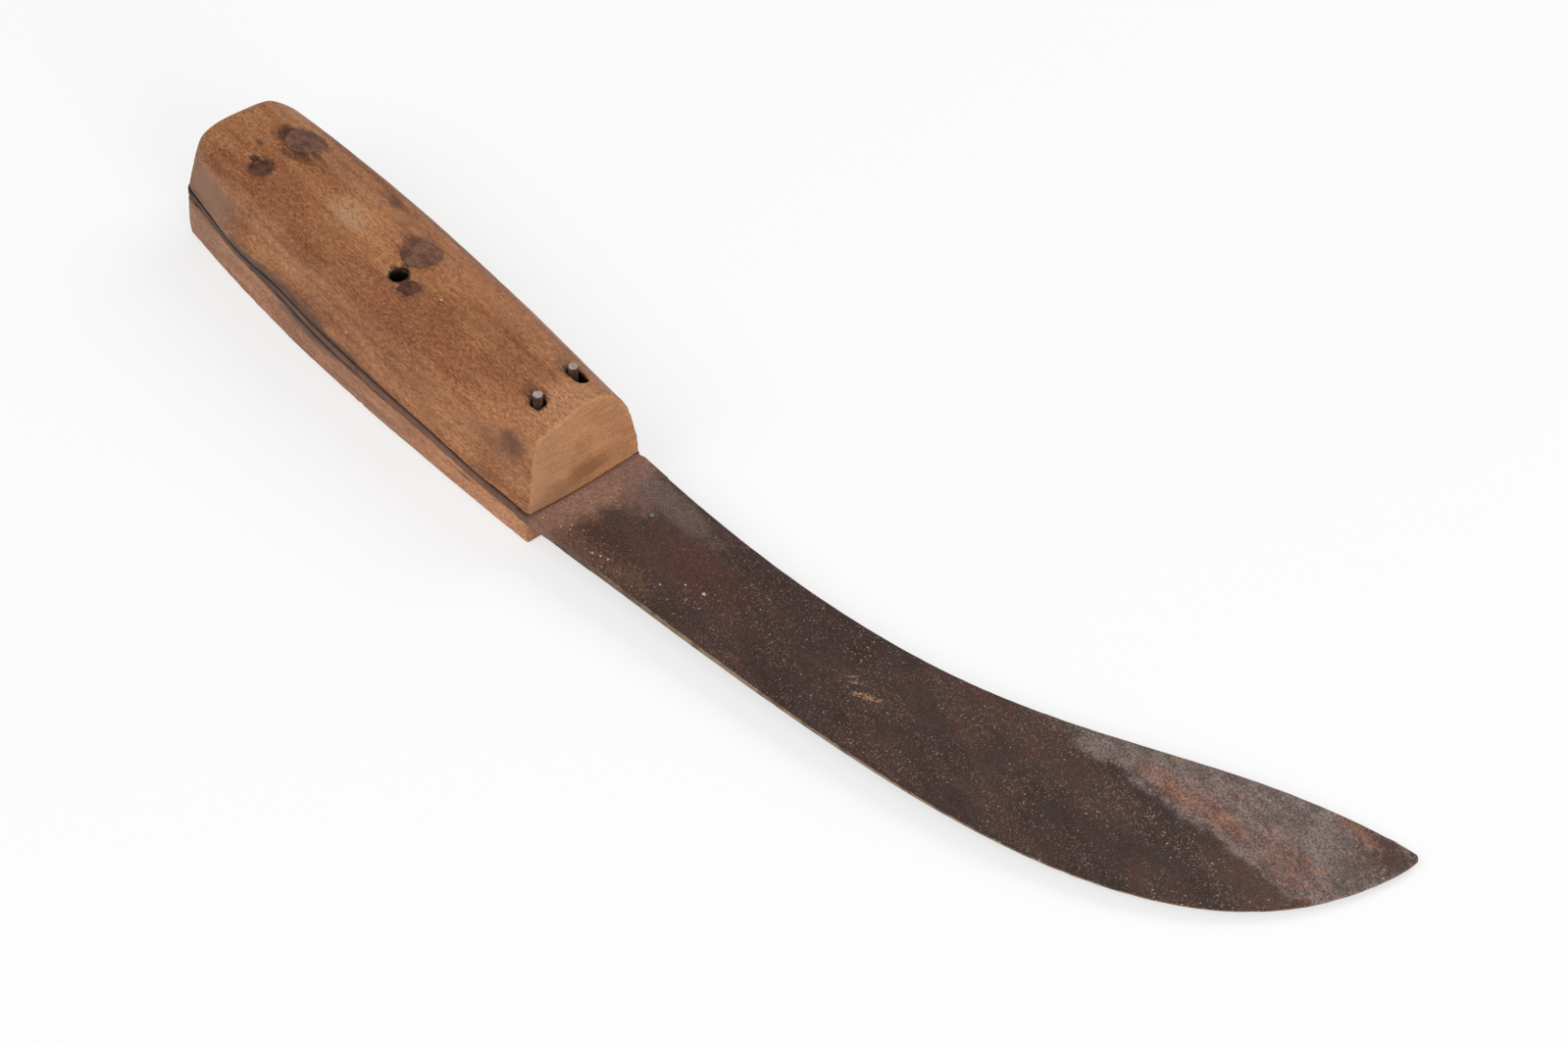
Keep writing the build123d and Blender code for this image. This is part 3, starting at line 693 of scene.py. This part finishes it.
# Where the handle swells a little or is rubbed away, its tang with it
worked = {
    "most": 1.3,                                     # presses grow no further past this
    "swells": [                                      # at, reach and by
        ((-36, -14, 14), (11, 8, 5), (0, -1.4, 0)),
        ((42, -14.5, 9.2), (9, 4, 5), (0, -0.4, 0)),
        ((buttX + 1, -9, 4), (6, 5, 4.5), (-0.1, -0.5, 0)),
        ((buttX + 3, 1, 25), (5, 6, 4), (-0.2, 0, 0.25)),
        ((frontX, 8.2, 25), (20, 3, 5), (0, 0.1, 0.75)),
        ((frontX, 12.6, 18.5), (22, 4, 4), (0, -0.4, -0.1)),
        ((frontX, 13.2, 8.8), (14, 3, 2.6), (0, -0.5, 0))],
    "presses": [                                     # at, inwards, reach and deep
        ((buttX + 3.5, -13, 25.5), (0.8, 0.6, -0.3), 6.5, 2.0),
        ((buttX + 0.5, 16, 28), (0.5, -0.3, -0.8), 6.5, 2.4),
        ((buttX + 2, 13, 20), (0.8, -0.5, -0.3), 3.0, 0.9)]}


def handWorked(place):
    moved = place.copy()
    for at, reach, by in worked["swells"]:
        away = [(a - b) / c for a, b, c in zip(place, at, reach)]
        moved += Vector(by) * math.exp(-sum(part * part for part in away))
    for at, way, reach, deep in worked["presses"]:
        inwards = Vector(way).normalized()
        inside = (moved - Vector(at)).dot(inwards)
        moved += inwards * clamp((reach - inside) / reach, worked["most"]) ** 2 * deep
    return moved


def finishPiece(bm, name, node, material, marks=None, sharp=None):
    for vert in bm.verts:                            # nothing stands outside the construction's box
        vert.co = [max(lowest, min(highest, part)) for lowest, part, highest in zip(
            cadBox[0], vert.co, cadBox[1])]
    for label, values in (marks or {}).items():
        field = bm.verts.layers.float.new(label)
        for vert, value in zip(bm.verts, values):
            vert[field] = value
    mesh = meshOf(bm, name)
    mesh.shade_smooth()
    if sharp:
        mesh.set_sharp_from_angle(angle=math.radians(sharp))
    mesh.materials.append(material)
    piece = addObject(name, mesh)
    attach(piece, "root")
    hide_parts(node)
    print(name, len(mesh.polygons), "faces")


# The scales
upperShape = {
    "voxel": 0.4, "seamGap": 0.3, "lumps": 0.09, "ripple": 0.035,
    "wear": [                                        # corners rubbed by low at the foot, high above
        {"at": (buttX + 2.9, -10.6), "way": (0.69, 0.72), "reach": 8.0, "low": 0.2, "high": 2.1}],
    "rubHeight": 14, "mostRubbed": 1.3, "frontBulge": 0.45, "bulgeReach": 9, "bulgeHalf": 13.5,
    "seatRim": 0.4,
    "seats": [                                       # where heads sit: radius, depth and unevenness
        ("rear_rivet_stud", 4.3, 0.14, 0.04), ("middle_rivet_stud", 4.3, 0.16, 0.03),
        ("rear_nail", 2.6, 0.18, 0.1), ("middle_nail", 2.65, 0.42, 0.2)],
    "arrisChips": 34, "arrisHalf": 13.2, "dents": 26, "dentsFrom": (-52, -9), "dentsOver": (100, 20),
    "seed": 7,
    # Dents, tears and holes each give x, y and a radius, then a depth, or how high the rim is
    "dentsAt": [(35.5, 8.9, 2.4, 0.3), (32, 10, 2.2, 0.25), (-13, 10.8, 2.6, 0.3),
                (27, 10.8, 2.5, 0.25), (-45, 0.2, 1.5, 0.2)],
    "tears": [(oldHole.x - 1.9, oldHole.y - 0.3, 1.4, 0.4),
              (oldHole.x - 1.6, oldHole.y + 1.3, 1.2, 0.4),
              (oldHole.x - 1.4, oldHole.y - 1.5, 1.1, 0.35),
              (oldHole.x - 0.6, oldHole.y + 2.0, 1.1, 0.24),
              (oldHole.x + 0.8, oldHole.y - 1.9, 1.2, 0.2),
              (spinePin.x + 3.0, spinePin.y - 0.8, 1.2, 0.45),
              (spinePin.x + 1.6, spinePin.y - 1.5, 1.2, 0.4),
              (edgePin.x + 1.4, edgePin.y - 1.2, 0.9, 0.3)],
    "dark": 0.5,                                     # how soon a hole is painted black with shade below its rim
    "holes": [(*oldHole, 1.9, topOf("middle_nail") - 0.35), (*edgePin, 1.5, topOf("edge_side_pin") - 2.2),
              (*spinePin, 1.5, topOf("spine_side_pin") - 2.2),
              (edgePin.x + 0.9, edgePin.y, 1.4, topOf("edge_side_pin") - 2.1),
              (spinePin.x + 1.4, spinePin.y, 1.4, topOf("spine_side_pin") - 2.2),
              (spinePin.x + 2.7, spinePin.y, 1.4, topOf("spine_side_pin") - 2.2)]}
lowerShape = {"voxel": 0.45, "seamGap": 0.15, "lumps": 0.1, "ripple": 0.035, "arrisChips": 30, "seed": 3}
seamEnds = {"side": 9, "butt": -50, "front": 50}     # the seam is opened outside these
woodLumps = {"far": (12, 6, 6), "near": (4, 1.1, 1.1)}


def chamferSeam(bm, width, drop):                    # opens the seam with the tang
    ringed = []
    for edge in bm.edges:
        if len(edge.link_faces) == 2 and all(
                abs((v.co / mm - frontFoot).dot(seamUp) + drop(v.co.x / mm)) < 0.05
                for v in edge.verts):
            tilt = [abs(face.normal.dot(seamUp)) for face in edge.link_faces]
            first, run = edge.verts[0].co, edge.verts[0].co - edge.verts[1].co
            outer = (max(abs(v.co.y) for v in edge.verts) > seamEnds["side"] * mm
                     or first.x < seamEnds["butt"] * mm)
            across = first.x > seamEnds["front"] * mm and abs(run.y) > abs(run.x)
            if outer and not across and max(tilt) > 0.99 and min(tilt) < 0.5:
                ringed.append(edge)
    bmesh.ops.bevel(bm, geom=ringed, offset=width * mm, affect="EDGES", segments=1, profile=0.5,
                    material=-1)


def wander(bm, lumps, ripple):                       # hand-shaped wood is never quite even
    bm.normal_update()
    for vert in bm.verts:
        place = vert.co / mm
        far, near = (Vector([part / size for part, size in zip(place, woodLumps[name])])
                     for name in ("far", "near"))
        push = lumps * noise.noise(far) + ripple * noise.noise(near)
        vert.co -= vert.normal * (push + 0.5 * lumps) * mm


def makeUpperScale():
    shape = upperShape
    bm = copyOf("upper_scale")
    chamferSeam(bm, shape["seamGap"], lambda x: 0.0)
    for node, *_ in shape["seats"]:
        plug = headOf(node, 2.5)
        bm.from_mesh(plug)
        bpy.data.meshes.remove(plug)
    bm = evenly(bm, shape["voxel"])
    noise.seed_set(shape["seed"])

    # A corner of the butt is rubbed away, most at the top, and the front bulges a little
    for vert in bm.verts:
        place = vert.co / mm
        height = (place - frontFoot).dot(seamUp)
        rise = clamp(height / shape["rubHeight"])
        for worn in shape["wear"]:
            way = Vector(worn["way"])
            inside = (place.xy - Vector(worn["at"])).dot(way)
            share = max(0.0, (worn["reach"] - inside) / worn["reach"])
            deep = worn["low"] + (worn["high"] - worn["low"]) * rise
            vert.co.xy += way * min(shape["mostRubbed"], share ** 2) * deep * mm
        ahead = max(0.0, 1 - (frontX - place.x) / shape["bulgeReach"])
        middling = max(0.0, 1 - (place.y / shape["bulgeHalf"]) ** 2)
        vert.co.x += shape["frontBulge"] * ahead * middling * mm
        vert.co = handWorked(vert.co / mm) * mm

    bm.normal_update()
    for node, radius, depth, uneven in shape["seats"]:   # the wood lies just below each head
        middle, top = middleOf(node), topOf(node)
        for vert in bm.verts:
            away = vert.co.xy / mm - middle
            if away.length < radius and vert.co.z / mm > top - 3 and vert.normal.z > 0.4:
                sides = 0.5 + 0.5 * math.cos(5 * math.atan2(away.y, away.x) + 0.7)
                gap = radius * (1 - uneven * sides) - away.length
                vert.co.z -= depth * clamp(gap / shape["seatRim"]) * mm

    surface = BVHTree.FromBMesh(bm)
    tree = treeOf(bm.verts)
    chips = [0.0] * len(bm.verts)

    def onTop(x, y):
        hit, out, _, _ = surface.ray_cast(Vector((x, y, 60)) * mm, Vector((0, 0, -1)))
        return hit, out

    # Chips along the front's arris, then dents over the top
    for _ in range(shape["arrisChips"]):
        y = -shape["arrisHalf"] + 2 * shape["arrisHalf"] * noise.random()
        radius, depth = 0.7 + 1.1 * noise.random(), 0.1 + 0.22 * noise.random()
        x = frontX - 0.2
        hit, out = onTop(x, y)
        while hit is None or hit.z / mm < seamZ + 2 or out.dot(frontOut) > 0.8:
            x -= 0.15
            hit, out = onTop(x, y)
            if x < frontX - 8:
                break
        if hit:
            scoop(bm, tree, chips, hit, (out + frontOut).normalized(), radius, depth)
    for _ in range(shape["dents"]):
        x, y = (start + over * noise.random() for start, over in zip(
            shape["dentsFrom"], shape["dentsOver"]))
        hit, out = onTop(x, y)
        if hit:
            scoop(bm, tree, chips, hit, out, 0.8 + 1.4 * noise.random(), 0.04 + 0.06 * noise.random())
    for x, y, radius, depth in shape["dentsAt"]:
        hit, out = onTop(x, y)
        scoop(bm, tree, chips, hit, out, radius, depth)

    # Torn rims, and holes painted black below them as painted shade
    for x, y, radius, depth in shape["tears"]:
        hit, _ = onTop(x, y)
        if hit:
            scoop(bm, tree, chips, hit, Vector((0, 0, 1)), radius, depth)
    bm.normal_update()
    holeShade = [0.0] * len(bm.verts)
    for index, vert in enumerate(bm.verts):
        place = vert.co / mm
        for x, y, radius, rim in shape["holes"]:
            gap = math.hypot(place.x - x, place.y - y) - radius
            if gap < 0.3:
                below = rim - place.z + 0.3 * noise.noise(place / 0.6)
                holeShade[index] = max(holeShade[index], clamp(below / shape["dark"]))
    wander(bm, shape["lumps"], shape["ripple"])
    finishPiece(bm, "upper_scale_wood", "upper_scale", upperMaterial,
                {"chip": chips, "holeShade": holeShade})


def makeLowerScale():
    shape = lowerShape
    bm = copyOf("lower_scale")
    chamferSeam(bm, shape["seamGap"], tangAt)
    bm = evenly(bm, shape["voxel"])
    noise.seed_set(shape["seed"])
    tree = treeOf(bm.verts)
    chips = [0.0] * len(bm.verts)
    edges = [v for v in bm.verts if v.co.z < 1.0 * mm and 0.15 < abs(v.normal.z) < 0.9]
    for _ in range(shape["arrisChips"]):
        vert = edges[int(noise.random() * (len(edges) - 1))]
        scoop(bm, tree, chips, vert.co.copy(), vert.normal.copy(), 0.6 + 1.3 * noise.random(),
              0.08 + 0.2 * noise.random())
    for vert in bm.verts:
        vert.co = handWorked(vert.co / mm) * mm
    flat = [v for v in bm.verts if v.co.z < 0.1 * mm]
    keep = {v.index: v.co.z for v in flat}
    wander(bm, shape["lumps"], shape["ripple"])
    for vert in flat:                                # the rubbed underside stays flat
        vert.co.z = keep[vert.index]
    for vert in bm.verts:
        vert.co.z = max(vert.co.z, 0.0)
    finishPiece(bm, "lower_scale_wood", "lower_scale", lowerMaterial,
                {"chip": chips, "holeShade": [0.0] * len(bm.verts)})


makeUpperScale()
makeLowerScale()

# The blade
bladeShape = {"step": 1.3, "spineBevel": 0.3, "edgeBevel": 0.14, "pitting": 0.05, "sway": 0.12,
              "nicks": 0.16, "nickReach": 1.6, "keenReach": 0.3, "backGap": 0.5, "seed": 5,
              "tipWay": (0.69, 0.72), "tipBack": 5.0, "tipRadius": 1.4, "tipWorn": 0.6}


def makeBlade():
    shape = bladeShape
    bm = copyOf("blade")
    bladeBack = frontX + shape["backGap"]           # the blade starts here, and the tang ends
    spine, keen = [], []
    for edge in bm.edges:
        if len(edge.link_faces) != 2 or min(v.co.x for v in edge.verts) < bladeBack * mm:
            continue
        normals = [face.normal for face in edge.link_faces]
        flat = [n for n in normals if abs(n.z) > 0.9]
        wall = [n for n in normals if abs(n.z) < 0.5]
        if flat and wall:
            (spine if wall[0].y > 0.5 and wall[0].x < 0.3 else keen).append(edge)
    bmesh.ops.bevel(bm, geom=spine, offset=shape["spineBevel"] * mm, affect="EDGES", segments=2,
                    profile=0.5, material=-1)
    keen = [e for e in keen if e.is_valid]
    bmesh.ops.bevel(bm, geom=keen, offset=shape["edgeBevel"] * mm, affect="EDGES", segments=1,
                    profile=0.5, material=-1)

    low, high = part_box("blade")
    for axis, way in enumerate((Vector((1, 0, 0)), Vector((0, 1, 0)))):
        at = low[axis] / mm + shape["step"]
        while at < high[axis] / mm:
            cutAt(bm, way * at * mm, way, 0.002 * mm)
            at += shape["step"]
    bm.normal_update()
    bm.verts.ensure_lookup_table()

    # The cutting edge: walls that face away from the spine, or forward at the tip
    rim = [v for v in bm.verts if v.co.x > bladeBack * mm and any(
        abs(f.normal.z) < 0.5 and (f.normal.y < 0.3) for f in v.link_faces)]
    tree = treeOf(rim)
    noise.seed_set(shape["seed"])
    edgeMark = [0.0] * len(bm.verts)
    inward = {}
    for index, vert in enumerate(rim):
        out = Vector((0, 0, 0))
        for face in vert.link_faces:
            if abs(face.normal.z) < 0.5:
                out += face.normal
        out.z = 0
        inward[index] = -out.normalized() if out.length else Vector((0, 1, 0))
    moves = []
    for vert in bm.verts:
        place = vert.co / mm
        if place.x < bladeBack:
            moves.append(handWorked(place) - place)
            continue
        _, index, gap = tree.find(vert.co)
        gap /= mm
        edgeMark[vert.index] = max(0.0, 1.0 - gap / shape["keenReach"])
        near = max(0.0, 1.0 - gap / shape["nickReach"])
        rimPlace = rim[index].co / mm
        nick = max(0.0, noise.noise(Vector((rimPlace.x / 2.3, rimPlace.y / 2.3, 4))) - 0.12)
        nick += 0.5 * max(0.0, noise.noise(Vector((rimPlace.x / 0.9, rimPlace.y / 0.9, 9))) - 0.2)
        move = inward[index] * nick * shape["nicks"] * near
        side = 1 if vert.normal.z > 0 else -1
        if abs(vert.normal.z) > 0.6 and gap > shape["keenReach"]:
            pit = noise.noise(Vector((place.x / 1.9, place.y / 1.9, side * 11)))
            pit += 0.6 * noise.noise(Vector((place.x / 5.5, place.y / 4.2, side * 23)))
            move.z -= side * shape["pitting"] * (0.5 + pit) * min(1.0, gap / 2)
        move.z += shape["sway"] * noise.noise(Vector((place.x / 38, place.y / 26, 2))) * min(
            1.0, (place.x - bladeBack) / 12)
        moves.append(move)
    for vert, move in zip(bm.verts, moves):
        vert.co += move * mm
    way = Vector(shape["tipWay"]).normalized()       # the tip is worn round
    side = Vector((-way.y, way.x))
    far = max(v.co.xy.dot(way) for v in bm.verts) / mm
    ends = [v.co.xy.dot(side) / mm for v in bm.verts if far - v.co.xy.dot(way) / mm < 0.3]
    nose = way * (far - shape["tipWorn"]) + side * (min(ends) + max(ends)) / 2
    centre = nose - way * shape["tipRadius"]
    for vert in bm.verts:
        back = far - vert.co.xy.dot(way) / mm
        if back < shape["tipBack"]:
            vert.co.xy -= way * shape["tipWorn"] * (1 - max(0.0, back) / shape["tipBack"]) ** 2 * mm
            away = vert.co.xy / mm - centre
            if away.dot(way) > shape["tipRadius"] / 2 and away.length > shape["tipRadius"]:
                vert.co.xy = (centre + away.normalized() * shape["tipRadius"]) * mm
    finishPiece(bm, "blade_steel", "blade", steelMaterial, {"edge": edgeMark}, sharp=38)


makeBlade()

# Rivets, nails and pins
rivetShape = {"voxel": 0.17, "lumps": 0.05, "grain": 0.02, "rimDrop": 0.12, "rimWidth": 0.8,
              "headRadius": 4.3, "headDepth": 2.2}
nailShape = {"voxel": 0.13, "lumps": 0.09, "grain": 0.02, "rimDrop": 0.14, "rimWidth": 0.6,
             "headRadius": 2.6, "headDepth": 2.2}
pinShape = {"voxel": 0.09, "lumps": 0.07, "grain": 0.02, "flare": 0.2, "flareDepth": 0.9}
grimeWay = Vector((0.72, -0.69, 0))                  # dirt gathers on this side of a head
ironSeed = 11                                        # for all the heads and pins


def makeHead(node, name, shape, material, faceUp=True, tilt=(0.0, 0.0), ridge=0.0):
    bm = evenly(copyOf(node), shape["voxel"])
    middle = middleOf(node)
    low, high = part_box(node)
    face = (high if faceUp else low).z / mm
    rim = [0.0] * len(bm.verts)
    bm.normal_update()
    for index, vert in enumerate(bm.verts):
        place = vert.co / mm
        depth = face - place.z if faceUp else place.z - face
        if depth > shape["headDepth"]:
            continue
        across = Vector((place.x - middle.x, place.y - middle.y, 0))
        push = shape["lumps"] * noise.noise(place / 1.4) + shape["grain"] * noise.noise(place / 0.45)
        move = -vert.normal * (push + 0.5 * shape["lumps"])
        outside = shape["headRadius"] - across.length + 0.25 * noise.noise(place / 0.8)
        edge = clamp(1 - outside / shape["rimWidth"])
        facing = across.normalized().dot(grimeWay) if across.length else 0
        rim[index] = edge ** 1.5 * (0.25 + 0.5 * max(0.0, facing))
        down = -1 if faceUp else 1
        if abs(vert.normal.z) > 0.3:
            move.z += down * shape["rimDrop"] * edge * edge
            move.z += down * ridge * max(0.0, noise.noise(place / 2.1))
        if tilt != (0.0, 0.0):
            slope = (across.x * tilt[0] + across.y * tilt[1]) / shape["headRadius"]
            move.z += min(0.0, slope - math.hypot(*tilt))
        vert.co += move * mm
    finishPiece(bm, name, node, material, {"rim": rim})


def makePin(node, name):
    shape = pinShape
    bm = evenly(copyOf(node), shape["voxel"])
    middle, top = middleOf(node), topOf(node)
    radius = max((v.co.xy / mm - middle).length for v in bm.verts)
    rim = []
    for vert in bm.verts:                            # hammered over a little at the top
        place = vert.co / mm
        push = shape["lumps"] * noise.noise(place / 0.9) + shape["grain"] * noise.noise(place / 0.3)
        across = place.xy - middle
        near = max(0.0, 1 - (top - place.z) / shape["flareDepth"])
        rim.append(clamp((across.length / radius - 0.55) / 0.4))
        vert.co -= vert.normal * (push + 0.5 * shape["lumps"]) * mm
        vert.co.xy += across * shape["flare"] * near * (0.7 + 0.6 * noise.noise(place / 0.8)) * mm
    finishPiece(bm, name, node, makeIron(name + " wire", wireLook, wornTop=top - 0.1),
                {"rim": rim})


noise.seed_set(ironSeed)
makeHead("rear_rivet_stud", "rear_rivet_head", rivetShape, rivetMaterial, ridge=0.05)
makeHead("rear_rivet_tube", "rear_rivet_barrel", rivetShape, rivetMaterial, faceUp=False)
makeHead("middle_rivet_stud", "middle_rivet_head", rivetShape, rivetMaterial, ridge=0.06)
makeHead("middle_rivet_tube", "middle_rivet_barrel", rivetShape, rivetMaterial, faceUp=False)
makeHead("rear_nail", "rear_nail_iron", nailShape, nailMaterial, ridge=0.15)
makeHead("middle_nail", "middle_nail_iron", nailShape, nailMaterial, tilt=(0.12, -0.1), ridge=0.15)
makePin("edge_side_pin", "edge_side_pin_wire")
makePin("spine_side_pin", "spine_side_pin_wire")

# Floor, light and camera
studio = {"floor": 4000, "below": 0.02, "white": 0.96, "keep": 0.38, "sky": 0.36, "backdrop": 0.96,
          "lamps": [{"at": (60, -950, 950), "size": 900, "light": 0.27},
                    {"at": (120, 950, 1000), "size": 900, "light": 0.25},
                    {"at": (1250, -250, 640), "size": 700, "light": 0.18}]}
shot = {"lens": 80, "sensor": 36, "turn": 46.084, "tilt": 45.774, "roll": 3.0, "distance": 664.2,
        "target": (82.3, 28.0, 0)}

sheet = bmesh.new()
bmesh.ops.create_grid(sheet, x_segments=2, y_segments=2, size=studio["floor"] / 2 * mm)
floor = addObject("floor", meshOf(sheet, "floor"))
floor.location.z = cadBox[0].z - studio["below"] * mm
paper = bpy.data.materials.new("studio paper")
tree = clearTree(paper)
plain = addNode(tree, "BsdfDiffuse", {"Color": (studio["white"],) * 3 + (1,)})
glow = addNode(tree, "Emission", {"Color": (1, 1, 1, 1), "Strength": 1.0})
path = addNode(tree, "LightPath")
seen = maths(tree, "MAXIMUM", path.outputs["Is Camera Ray"], maths(
    tree, "MAXIMUM", path.outputs["Is Glossy Ray"], path.outputs["Is Transmission Ray"]))
paperMix = addNode(tree, "MixShader", {0: times(tree, seen, 1 - studio["keep"]), 1: plain.outputs[0],
                                       2: glow.outputs[0]})
addNode(tree, "OutputMaterial", {"Surface": paperMix.outputs[0]})
floor.data.materials.append(paper)

world = bpy.data.worlds.new("studio")
bpy.context.scene.world = world
tree = clearTree(world)
path = addNode(tree, "LightPath")
air = addNode(tree, "Background", {"Color": (1, 1, 1, 1), "Strength": studio["sky"]})
backdrop = addNode(tree, "Background", {"Color": (1, 1, 1, 1), "Strength": studio["backdrop"]})
worldMix = addNode(tree, "MixShader", {0: path.outputs["Is Camera Ray"], 1: air.outputs[0],
                                       2: backdrop.outputs[0]})
addNode(tree, "OutputWorld", {"Surface": worldMix.outputs[0]})

for number, lamp in enumerate(studio["lamps"], 1):
    light = bpy.data.lights.new(f"soft box {number}", "AREA")
    light.shape, light.size = "SQUARE", lamp["size"] * mm
    place = Vector(lamp["at"])
    way = Vector(shot["target"]) - place
    fall = abs(way.normalized().z)                   # each lights a level face by its own share
    light.energy = lamp["light"] * math.pi ** 2 * (way.length * mm) ** 2 / fall
    holder = addObject(light.name, light)
    holder.location = place * mm
    holder.rotation_mode = "QUATERNION"
    holder.rotation_quaternion = way.to_track_quat("-Z", "Y")

turn, tilt = math.radians(shot["turn"]), math.radians(shot["tilt"])
looking = Vector((-math.sin(turn) * math.cos(tilt), math.cos(turn) * math.cos(tilt), -math.sin(tilt)))
cameraData = bpy.data.cameras.new("camera")
cameraData.lens, cameraData.sensor_width = shot["lens"], shot["sensor"]
camera = addObject("camera", cameraData)
camera.location = (Vector(shot["target"]) - looking * shot["distance"]) * mm
camera.rotation_mode = "QUATERNION"
camera.rotation_quaternion = looking.to_track_quat("-Z", "Y") @ Quaternion(
    (0, 0, 1), math.radians(shot["roll"]))
bpy.context.scene.camera = camera
bpy.context.scene.view_settings.view_transform = "Standard"
print("studio ready")
